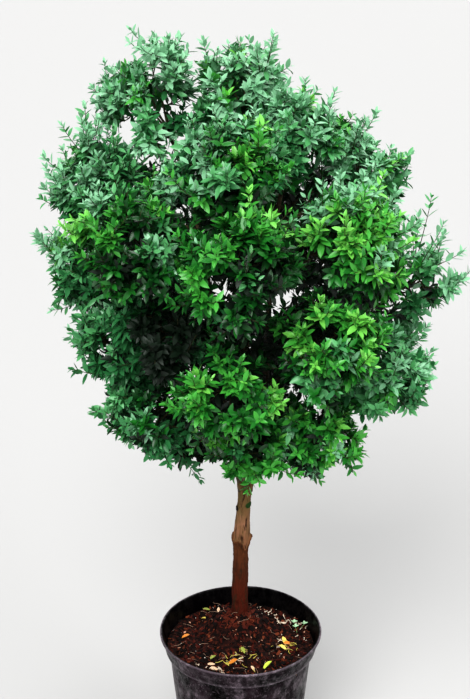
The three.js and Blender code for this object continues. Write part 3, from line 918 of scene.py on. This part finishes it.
def make_trunk():
    centres, radii = trunk_rings()
    foot, fork = centres[0, 2], centres[-1, 2]
    collar = next(k for k in range(3, len(radii) - 1) if radii[k - 1] < radii[k] > radii[k + 1])
    scar = centres[collar, 2]
    over = fork + np.array([2.5, 4.5, 5.5]) * MM      # three rings that round off the trunk's end
    levels = np.concatenate([np.linspace(foot, fork, TRUNK_RINGS), over])
    turn = bearings(TRUNK_SIDES)
    direction = np.stack([np.cos(turn), np.sin(turn)], 1)
    rng = np.random.default_rng(SEED + 2)
    edge = bark_edge(turn, rng.uniform(-3 * MM, 5 * MM, 13), scar)
    # The bare wood narrows from below the scar to its own thickness above it.
    wood_level = [scar - SCAR_REACH, scar, scar + 19 * MM, fork]
    above = next(r for c, r in zip(centres, radii) if c[2] > scar + 15 * MM)
    rings, barked, dips, knots, mosses = [], [], [], [], []
    for level in levels:
        along = min(level, fork)
        centre = np.array([np.interp(along, centres[:, 2], centres[:, axis]) for axis in range(2)])
        girth = np.interp(along, centres[:, 2], radii)
        wood = np.interp(along, wood_level, [girth, above * 1.12, above, girth])
        cover = np.clip((edge - level) / (1.2 * MM), 0, 1)
        bare = min(girth, wood) if level > scar - SCAR_REACH else girth
        radius = bare + (girth - bare) * cover

        coarse = relief_round(direction, 2.4, level * 38, noise.fractal, 0.7, 2.0, 5)
        fine = relief_round(direction, 5.5, level * 75, noise.ridged_multi_fractal, 0.9, 2.1, 4, 0.9, 2.0)
        fissures = np.clip(1.0 - fine, 0, 1)
        lump = relief_round(direction, 0.9, level * 42 + 7, noise.noise)
        radius = radius + lump * 0.9 * MM + coarse * (0.35 + 0.75 * cover) * MM - 0.8 * MM * cover * fissures
        flare = ROOT_FLARE * math.exp(-(level - foot) / ROOT_FLARE_HEIGHT)
        radius = radius + flare * (np.sin(3 * turn + 0.7) + 0.6 * np.sin(5 * turn + 2))
        radius = radius + bell(edge - level, 5 * MM) * (level < edge) * BARK_LIP

        knot = spot(turn, level, KNOT_BEARING, fork - KNOT_DROP, KNOT_RADIUS, girth)
        moss = spot(turn, level, MOSS_BEARING, fork - MOSS_DROP, MOSS_RADIUS, girth)
        radius = radius + 1.6 * MM * np.sqrt(knot) * (knot < 0.55) - 1.0 * MM * (knot >= 0.55)
        radius = radius + 2.4 * MM * np.sqrt(moss)
        if level > fork:
            radius = radius * math.sqrt(max(0.02, 1 - ((level - fork) / (6 * MM)) ** 2))
        rings.append(np.column_stack([centre + direction * radius[:, None], np.full(TRUNK_SIDES, level)]))
        barked.append(cover)
        dips.append(np.clip(0.5 - 0.5 * coarse - 0.35 * fissures, 0, 1))
        knots.append(knot)
        mosses.append(moss)
    piece = mesh_object("trunk_bark", *ring_surface(rings))
    for name, values in (("bark", barked), ("dip", dips), ("knot", knots), ("moss", mosses)):
        flat = np.concatenate(values)
        store(piece, name, np.concatenate([flat, flat[:1], flat[-1:]]))
    add_piece(piece, trunk_material(foot, scar, fork), ["trunk"])


def trunk_material(foot, scar, fork):
    """Red-brown old bark below the scar, and pale bare wood that turns olive above it."""
    skin = Skin("trunk_bark", srgb(120, 80, 50), 0.8, 0.12)
    split = skin.nodes.new("ShaderNodeSeparateXYZ")
    skin.links.new(skin.place, split.inputs["Vector"])
    share = skin.scaled(split.outputs["Z"], foot, fork)
    bend = (scar - foot) / (fork - foot)
    fibre = skin.noise(260, 6, 0.65, stretch=(1, 1, 0.16))
    blotch = skin.noise(60, 5, 0.6)
    old = skin.ramp(
        share, (0.0, srgb(92, 28, 14)), (0.22, srgb(104, 38, 20)), (0.38, srgb(104, 54, 30)),
        (bend, srgb(128, 80, 46)))
    old = skin.mix(fibre, srgb(44, 18, 8), old)
    wood = skin.ramp(
        share, (bend - 0.04, srgb(132, 88, 62)), (bend + 0.12, srgb(156, 114, 88)),
        (bend + 0.24, srgb(116, 96, 60)), (1.0, srgb(78, 70, 34)))
    wood = skin.mix(skin.mask(fibre, 0.36, 0.6), srgb(122, 90, 60), wood)
    wood = skin.mix(skin.mask(blotch, 0.5, 0.7), wood, srgb(96, 86, 50), amount=0.55)
    colour = skin.mix(skin.attribute("bark"), wood, old)
    # Painted shade: the bark is darker brown in its fissures and along its coarse relief.
    colour = skin.mix(skin.mask(skin.attribute("dip"), 0.02, 0.34), srgb(58, 36, 22), colour)
    colour = skin.mix(skin.mask(skin.attribute("knot"), 0.1, 0.5), colour, srgb(20, 14, 10))
    colour = skin.mix(skin.mask(skin.attribute("moss"), 0.1, 0.45), colour, srgb(38, 66, 26))
    skin.drive("Base Color", colour)
    skin.bump(fibre, 0.5, 0.6 * MM)
    return skin.made


def make_boughs(names, middles):
    """Every bough as a fine tube with uneven bark, run on a little into the limb that it leaves."""
    parts = []
    for index, (name, middle) in enumerate(zip(names, middles)):
        rings, radii = bough_rings(BOUGH_PREFIX + name, middle)
        is_leader = radii[0] > LEADER_RADIUS
        root_depth, flare, sides = (14 * MM, 1.45, 14) if is_leader else (4.5 * MM, 1.35, 9)
        root = rings[0] - unit(rings[1] - rings[0]) * root_depth
        radii = np.concatenate([[radii[0] * flare], radii])
        path, girth = resampled(np.vstack([root, rings]), radii, BOUGH_RINGS)
        _, across, third = frames_along(path[None])
        turn = bearings(sides)
        circle = between(across[0][:, None], third[0][:, None], turn)
        wide = [(math.cos(a) * 1.6 + index, math.sin(a) * 1.6) for a in turn]
        relief = np.array([[noise.fractal(Vector((x, y, k * 0.35)), 0.8, 2, 4) for x, y in wide]
                           for k in range(len(path))])
        thick = girth[:, None] * (1 + 0.16 * relief)
        swell = 1 + 0.14 * np.clip(np.sin(np.arange(len(path)) * 0.9 + index), 0.6, 1)[:, None]
        parts.append(ring_surface(path[:, None] + circle * (thick * swell)[:, :, None]))
    skin = Skin("bough_bark", srgb(126, 112, 66), 0.65, 0.3)
    fibre = skin.noise(120, 5, 0.65)
    colour = skin.ramp(fibre, (0.3, srgb(34, 28, 18)), (0.5, srgb(76, 64, 42)), (0.7, srgb(112, 102, 68)))
    skin.drive("Base Color", colour)
    skin.bump(fibre, 0.5, 0.5 * MM)
    replaced = [BOUGH_PREFIX + name for name in names]
    add_piece(mesh_object("bough_bark", *joined(parts)), skin.made, replaced)


# ---- Crown ----

def fibonacci_directions(count, turn):
    """Unit vectors spread evenly over a sphere."""
    k = np.arange(count) + 0.5
    z = 1 - 2 * k / count
    angle = k * GOLDEN_ANGLE + turn
    flat = np.sqrt(1 - z * z)
    return np.stack([flat * np.cos(angle), flat * np.sin(angle), z], axis=1)


def distance_out(tree, centre, directions):
    """How far a mass's surface lies from its middle in each direction."""
    found = []
    for direction in directions:
        hit = tree.ray_cast(Vector(centre), Vector(direction))
        found.append(hit[3] if hit[0] is not None else 0.0)
    return np.array(found)


class Crown:
    """Collects limbs and leaves while the masses grow."""

    def __init__(self, rng):
        self.rng = rng
        self.limbs = []     # (paths, radii, sides)
        self.leaves = {tone: [] for tone in LEAF_TONES}

    def add_limbs(self, paths, radii, sides):
        """Limbs that taper from the first of two radii to the second."""
        taper = np.linspace(*radii, paths.shape[1])
        self.limbs.append((paths, np.tile(taper, (len(paths), 1)), sides))

    def add_leaves(self, bases, directions, normals, lengths, tones):
        for tone in np.unique(tones):
            chosen = tones == tone
            self.leaves[TONE_NAMES[tone]].append(
                (bases[chosen], directions[chosen], normals[chosen], lengths[chosen]))


def tone_index(cool, level):
    """The tone for a brightness level, where whole numbers are steps and 0 is the darkest."""
    step = np.round(level)
    warm = np.array(WARM_TONES)[np.clip(step, 0, len(WARM_TONES) - 1).astype(int)]
    cold = np.array(COLD_TONES)[np.clip(step, 0, len(COLD_TONES) - 1).astype(int)]
    return np.where(cool, cold, warm)


def leafy_shoots(crown, paths, cool, level, first, pairs, size):
    """Opposite pairs of leaves along many shoots, each pair turned a quarter from the last.

    first is the share of each shoot where its leaves begin. cool and level give each shoot its tone, and the
    leaves near its foot are painted a step or two darker, as painted shade inside the crown.
    """
    rng = crown.rng
    many = len(paths)
    along, across, third = frames_along(paths)
    shares = first + (1 - first) * (1 - (1 - np.arange(pairs) / (pairs - 1)) ** 1.35)
    spins = rng.uniform(0, math.pi, many)
    for k, share in enumerate(shares):
        at = share * (paths.shape[1] - 1)
        low = min(int(at), paths.shape[1] - 2)
        mix = at - low
        base = paths[:, low] * (1 - mix) + paths[:, low + 1] * mix
        axis = unit(along[:, low] * (1 - mix) + along[:, low + 1] * mix)
        near_tip = k / (pairs - 1)
        tones = tone_index(cool, level - FOOT_PAINTED_SHADE * (1 - near_tip) ** 1.5)
        spread = np.radians(LEAF_SPREAD - LEAF_CLOSING * near_tip**2)
        swell = 0.24 * math.sin(math.pi * min(1, 0.25 + 0.62 * near_tip))
        length = size * (0.84 + swell - 0.34 * near_tip**5)
        for side in (0, math.pi):
            spin = spins + k * math.pi / 2 + side + rng.normal(0, 0.25, many)
            outward = square_to(axis, between(across[:, low], third[:, low], spin))
            direction = between(axis, outward, spread + rng.normal(0, 0.17, many))
            direction = unit(direction + UP * rng.uniform(-0.12, 0.2, many)[:, None])
            normal = square_to(direction, axis + UP * 0.6 + rng.normal(0, 0.28, (many, 3)))
            lengths = length * rng.uniform(0.78, 1.16, many)
            crown.add_leaves(base, direction, normal, lengths, tones)


def held_in(tree, tips, allowed):
    """Tips moved to where each stands no more than allowed outside a mass's surface."""
    held = tips.copy()
    for k, room in enumerate(allowed):
        point, normal, _, _ = tree.find_nearest(Vector(tips[k]))
        if (Vector(tips[k]) - point).dot(normal) > room:
            held[k] = point + normal * room
    return held


def within_box(tips):
    """Tips kept inside the CAD box, apart from a little room."""
    low, high = np.array(CAD_BOX)
    return np.clip(tips, low - TIP_ROOM, high + TIP_ROOM)


def tuft_shoots(crown, tree, tufts, ways, room, second, exposed):
    """Shoots from the end of each second limb: one straight on, and the others leaning out round it."""
    rng = crown.rng
    owner = np.repeat(np.arange(len(tufts)), SHOOTS_IN_TUFT)
    order = np.tile(np.arange(SHOOTS_IN_TUFT), len(tufts))
    kept = rng.uniform(0, 1, len(owner)) < SHOOTS_KEPT
    owner, order = owner[kept], order[kept]
    many = len(owner)
    axis = ways[owner]
    lean = np.where(order == 0, 0.15, rng.uniform(0.35, 0.95, many))
    spin = order * GOLDEN_ANGLE * 1.6 + rng.normal(0, 0.3, many) + owner
    side = unit(np.cross(axis, np.where(np.abs(axis[:, 2:3]) < 0.9, UP, np.array([1.0, 0, 0]))))
    heading = unit(between(axis, between(side, np.cross(axis, side), spin), lean) + UP * 0.28)
    stretch = np.where(order == 0, rng.uniform(0.95, 1.25, many), rng.uniform(0.65, 1.1, many))
    begin = second[owner, -1 - (order % 3)]
    outside = np.interp(exposed[owner], (0.0, 0.6), (HIDDEN_TIP_OUT, -TIP_INSIDE))
    tips = held_in(tree, tufts[owner] + heading * (room[owner] * stretch)[:, None], outside)
    tips = within_box(tips)
    leaving = final_of(second)[owner] * 0.5 + heading * 0.5
    arriving = unit(heading + UP * 0.3 + rng.normal(0, 0.15, heading.shape))
    return curves(begin, leaving, tips, arriving, SHOOT_NODES, (0.35, 0.4)), owner


def grow_mass(crown, name, crown_centre, index):
    """Everything inside one mass: first limbs, second limbs, and the shoots and sprigs at their ends."""
    rng = crown.rng
    node = MASS_PREFIX + name
    tree = node_tree(node)
    points = node_points(node)
    centre = points.mean(0)
    rings, radii = bough_rings(BOUGH_PREFIX + name, centre)
    start, heading = rings[-1], unit(rings[-1] - rings[-2])
    slot = next(s["material_slot"] for s in frame["record"]["subparts"] if s["node"] == node)
    size = np.linalg.norm(points - centre, axis=1).mean()

    # The first limbs leave the bough's end and fan out inside the mass.
    first_way = unit(fibonacci_directions(FIRST_LIMBS, index) + heading * 0.45)
    first_end = centre + first_way * (distance_out(tree, centre, first_way) * FIRST_REACH)[:, None]
    first = curves(np.tile(start, (FIRST_LIMBS, 1)), heading, first_end, first_way, 7)
    first[:, 1:-1] += rng.normal(0, LIMB_UNEVENNESS * 1.2, first[:, 1:-1].shape)
    crown.add_limbs(first, (radii[-1] * 0.75, SECOND_RADII[0]), 5)
    # Painted glare: inside the higher masses the dark inner leaves are brighter, by up to 1.6 tone steps.
    painted_glare = np.clip((centre[2] - crown_centre[2]) * 8, 0, 1.6)
    all_warm = np.zeros(FIRST_LIMBS, bool)
    # The leaves on the first limbs take the darkest tones: painted shade inside the crown, raised by painted
    # glare in the higher masses.
    leafy_shoots(crown, first, all_warm, np.full(FIRST_LIMBS, painted_glare), 0.2, 4, LEAF_LENGTH)
    grow_inside(crown, rings, painted_glare)

    # The second limbs leave the nearest first limb, and each ends in a tuft of shoots.
    count = round(DENSITY.get(name, 1.0) * 4 * math.pi * size**2 / TUFT_SPACING**2)
    way = fibonacci_directions(count, index * 1.7)
    way = unit(way + rng.normal(0, 0.15, way.shape))
    out = distance_out(tree, centre, way)
    outward = unit(centre + way * out[:, None] - crown_centre)
    exposed = np.sum(way * outward, -1)
    kept = rng.uniform(0, 1, count) < np.clip(0.75 + 0.9 * exposed, 0.42, 1)
    way, out, outward, exposed = way[kept], out[kept], outward[kept], exposed[kept]
    tall = np.clip(rng.normal(TUFT_HEIGHT, TUFT_UNEVENNESS, len(way)), 0.7, 1.12)
    tufts = centre + way * (out * tall * TUFT_REACH)[:, None]
    nearest = np.argmax(way @ first_way.T, axis=1)
    second = curves(first[nearest, -2], first_way[nearest], tufts, unit(way + UP * 0.25), 6)
    second[:, 1:-1] += rng.normal(0, LIMB_UNEVENNESS, second[:, 1:-1].shape)
    crown.add_limbs(second, SECOND_RADII, 4)

    # Each tuft has one tone, with a little difference between its shoots.
    cool, level = tuft_tones(rng, way, outward, exposed, tall, slot)
    # Painted light and shade, set mass by mass.
    level += BRIGHTNESS.get(name, 0.0)
    # The leaves on the second limbs take the two darkest tones: painted shade inside the crown.
    leafy_shoots(crown, second, cool, np.clip(level - 1.8, 0.2, 1), 0.4, 2, LEAF_LENGTH)
    room = out * tall * (1 - TUFT_REACH)
    aim = unit(way * 0.8 + outward * 0.35 + UP * 0.2)
    shoots, owner = tuft_shoots(crown, tree, tufts, aim, room, second, exposed)
    crown.add_limbs(shoots, SHOOT_RADII, 3)
    shoot_cool = cool[owner] ^ (rng.uniform(0, 1, len(owner)) < 0.08)
    shoot_level = level[owner] + rng.normal(0, 0.4, len(owner))
    leafy_shoots(crown, shoots, shoot_cool, shoot_level, 0.24, 7, LEAF_LENGTH)

    share = SPRIG_SHARE * FEWER_SPRIGS.get(name, 1.0) * np.clip(0.4 + exposed, 0, 1)
    picked = rng.uniform(0, 1, len(way)) < share
    sprigs(crown, tree, *(each[picked] for each in (tufts, aim, room, second, cool, level)))
    long_shoots(crown, name, second, cool, level)
    side_shoots(crown, shoots, shoot_cool, shoot_level)


def sprigs(crown, tree, tufts, aim, room, second, cool, level):
    """Shoots that stand out past the tufts, thin and upright, with smaller leaves."""
    rng = crown.rng
    many = len(tufts)
    lead = unit(aim + UP * 0.55 + rng.normal(0, 0.25, (many, 3)))
    reach = (room * 1.15 + rng.uniform(*SPRIG_REACH, many))[:, None]
    tips = within_box(held_in(tree, tufts + lead * reach, rng.uniform(*SPRIG_OUT, many)))
    leaving, arriving = final_of(second) * reach * 0.4, unit(lead + UP * 0.4) * reach * 0.4
    paths = bezier(second[:, -2], leaving, tips, arriving, 8)
    crown.add_limbs(paths, SPRIG_RADII, 3)
    leafy_shoots(crown, paths, cool, level + rng.normal(0, 0.3, many), 0.3, 8, LEAF_LENGTH * 0.78)


def side_shoots(crown, shoots, cool, level):
    """Short side shoots on some of the shoots, at two heights."""
    rng = crown.rng
    for node_at in (2, 4):
        pick = rng.uniform(0, 1, len(shoots)) < SIDE_SHOOT_SHARE
        base = shoots[pick, node_at]
        along = unit(shoots[pick, node_at + 1] - shoots[pick, node_at - 1])
        sideways = unit(np.cross(along, rng.normal(0, 1, along.shape)))
        leaving = unit(along * 0.8 + sideways * 0.8 + UP * 0.15)
        length = rng.uniform(*SIDE_SHOOT_LENGTHS, len(base))[:, None]
        ends = base + leaving * length + UP * length * 0.15
        arriving = unit(leaving + UP * 0.4)
        paths = bezier(base, leaving * length * 0.4, ends, arriving * length * 0.4, 3)
        crown.add_limbs(paths, SIDE_SHOOT_RADII, 3)
        leafy_shoots(crown, paths, cool[pick], level[pick] - 0.3, 0.4, 3, LEAF_LENGTH * 0.82)


def long_shoots(crown, name, second, cool, level):
    """Sprays of three from the second limb nearest each long shoot's tip."""
    rng = crown.rng
    wanted = np.array([tip for mass, tip in LONG_SHOOTS if mass == name]) * MM
    if not len(wanted):
        return
    tips = np.repeat(wanted, len(LONG_SHOOT_SHARES), axis=0)
    shares = np.tile(LONG_SHOOT_SHARES, len(wanted))[:, None]
    nearest = np.argmin(np.linalg.norm(second[None, :, -1] - tips[:, None], axis=2), axis=1)
    base = second[nearest, -2]
    ends = base + (tips - base) * shares + rng.normal(0, 1, tips.shape) * (1 - shares) * LONG_SHOOT_SCATTER
    arriving = unit(unit(ends - base) + UP * 0.35)
    paths = curves(base, final_of(second)[nearest], ends, arriving, 9, (0.3, 0.35))
    crown.add_limbs(paths, LONG_RADII, 3)
    levels = level[nearest] + rng.normal(0, 0.4, len(paths))
    leafy_shoots(crown, paths, cool[nearest], levels, 0.2, 9, LEAF_LENGTH * 0.85)


def grow_inside(crown, rings, painted_glare):
    """Short shoots along the outer part of a bough, which close the view through the crown; their leaves are
    painted dark, as painted shade inside the crown.
    """
    rng = crown.rng
    path, _ = resampled(rings, np.zeros(len(rings)), 20)
    count = round(INNER_SHOOTS * (1 - 0.35 * painted_glare))
    at = rng.integers(6, 19, count)
    base = path[at]
    along = unit(path[at] - path[at - 1])
    sideways = unit(np.cross(along, rng.normal(0, 1, along.shape)))
    heading = unit(sideways + along * 0.5 + UP * 0.3)
    length = rng.uniform(*INNER_LENGTHS, count)[:, None]
    arriving = unit(heading + UP * 0.4)
    paths = bezier(base, heading * length * 0.4, base + heading * length, arriving * length * 0.3, 5)
    crown.add_limbs(paths, INNER_RADII, 3)
    # Painted shade: these leaves take the darkest tones, raised by painted glare in the higher masses.
    level = rng.uniform(0, 1, count) + painted_glare
    leafy_shoots(crown, paths, np.zeros(count, bool), level, 0.25, 5, LEAF_LENGTH)


def tuft_tones(rng, way, outward, exposed, tall, slot):
    """Which tufts are cool and how bright each is, with painted light and shade: bluer to the top and sides
    for painted sky glare, darker inside and below for painted shade.
    """
    many = len(way)
    # Painted sky glare: tufts that face up or to the sides turn bluer and paler.
    rim = np.clip(1.5 * np.clip(outward[:, 2] - 0.2, 0, 1) + 1.1 * outward[:, 0] ** 2, 0, 1.3)
    cool = rim + SLOT_COOLNESS[slot] + rng.normal(0, 0.2 if slot == "leaf_fresh" else 0.36, many)
    # Painted light and shade: tufts that stand out or face up are brighter, and those that face down or into
    # the crown are darker.
    level = rng.normal(2.0, 0.55, many) + SLOT_BRIGHTNESS[slot] + 3.0 * (tall - TUFT_HEIGHT) + 0.35 * rim
    level += 0.9 * np.clip(way[:, 2], -0.8, 0.3) + 1.3 * np.clip(exposed - 0.55, -1, 0)
    # Painted light lifts the low tufts of the fresh masses, which the masses above shade.
    if slot == "leaf_fresh":
        level += 1.5 * np.clip(-0.1 - outward[:, 2], 0, 0.6)
    return cool > 0.5, level


def final_of(paths):
    return unit(paths[:, -1] - paths[:, -2])


def leaf_templates():
    """Leaf outlines with a folded midrib and a drooping tip: x runs along, y across and z up."""
    stations = np.array([0.0, 0.22, 0.50, 0.78, 1.0])
    half = np.array([0.0, 0.40, 0.50, 0.33, 0.0])
    shapes = []
    for fold, droop, twist in LEAF_FORMS:
        sag = -droop * stations**2
        middle = np.stack([stations, np.zeros(5), sag], axis=1)
        left = np.stack([stations, half * LEAF_WIDTH, fold * half * LEAF_WIDTH + sag], axis=1)
        right = left * [1, -1, 1]
        left[:, 2] += twist * half
        right[:, 2] -= twist * half
        shapes.append(np.vstack([middle, left[1:4], right[1:4]]))
    # 0 to 4 run along the midrib, 5 to 7 along the left edge and 8 to 10 along the right.
    faces = [
        (0, 1, 5), (1, 6, 5), (1, 2, 6), (2, 7, 6), (2, 3, 7), (3, 4, 7),
        (0, 8, 1), (1, 8, 9), (1, 9, 2), (2, 9, 10), (2, 10, 3), (3, 10, 4),
    ]
    return np.array(shapes), np.array(faces)


def leaf_mesh(batches, rng):
    bases, directions, normals, lengths = (np.concatenate(part) for part in zip(*batches))
    shapes, faces = leaf_templates()
    chosen = shapes[rng.integers(0, len(shapes), len(bases))]
    sideways = np.cross(normals, directions)
    verts = (
        chosen[:, :, 0:1] * directions[:, None]
        + chosen[:, :, 1:2] * sideways[:, None]
        + chosen[:, :, 2:3] * normals[:, None]
    ) * lengths[:, None, None] + bases[:, None]
    corners = shapes.shape[1]
    all_faces = faces[None] + (np.arange(len(bases)) * corners)[:, None, None]
    return verts.reshape(-1, 3), all_faces.reshape(-1, 3)


def make_crown():
    rng = np.random.default_rng(SEED)
    names = [n[len(MASS_PREFIX):] for n in sorted(frame["nodes"]) if n.startswith(MASS_PREFIX)]
    masses = [MASS_PREFIX + n for n in names]
    middles = np.array([node_points(n).mean(0) for n in masses])
    crown_centre = (middles.min(0) + middles.max(0)) / 2
    make_boughs(names, middles)
    crown = Crown(rng)
    for index, name in enumerate(names):
        grow_mass(crown, name, crown_centre, index)
    twig_bark = material("twig_bark", srgb(62, 60, 34), 0.7, 0.2)
    for kind, thick in (("limbs", True), ("twigs", False)):
        wood = joined([tubes(*each) for each in crown.limbs if (each[2] > 3) == thick])
        add_piece(mesh_object(kind, *wood), twig_bark, masses)
    for tone, (colour, roughness, slot) in LEAF_TONES.items():
        piece = mesh_object(f"leaves_{tone}", *leaf_mesh(crown.leaves[tone], rng))
        add_piece(piece, material(f"leaf_{tone}", srgb(*colour), roughness), masses)


make_camera()
make_floor()
make_light()
make_pot()
make_compost()
make_trunk()
make_crown()
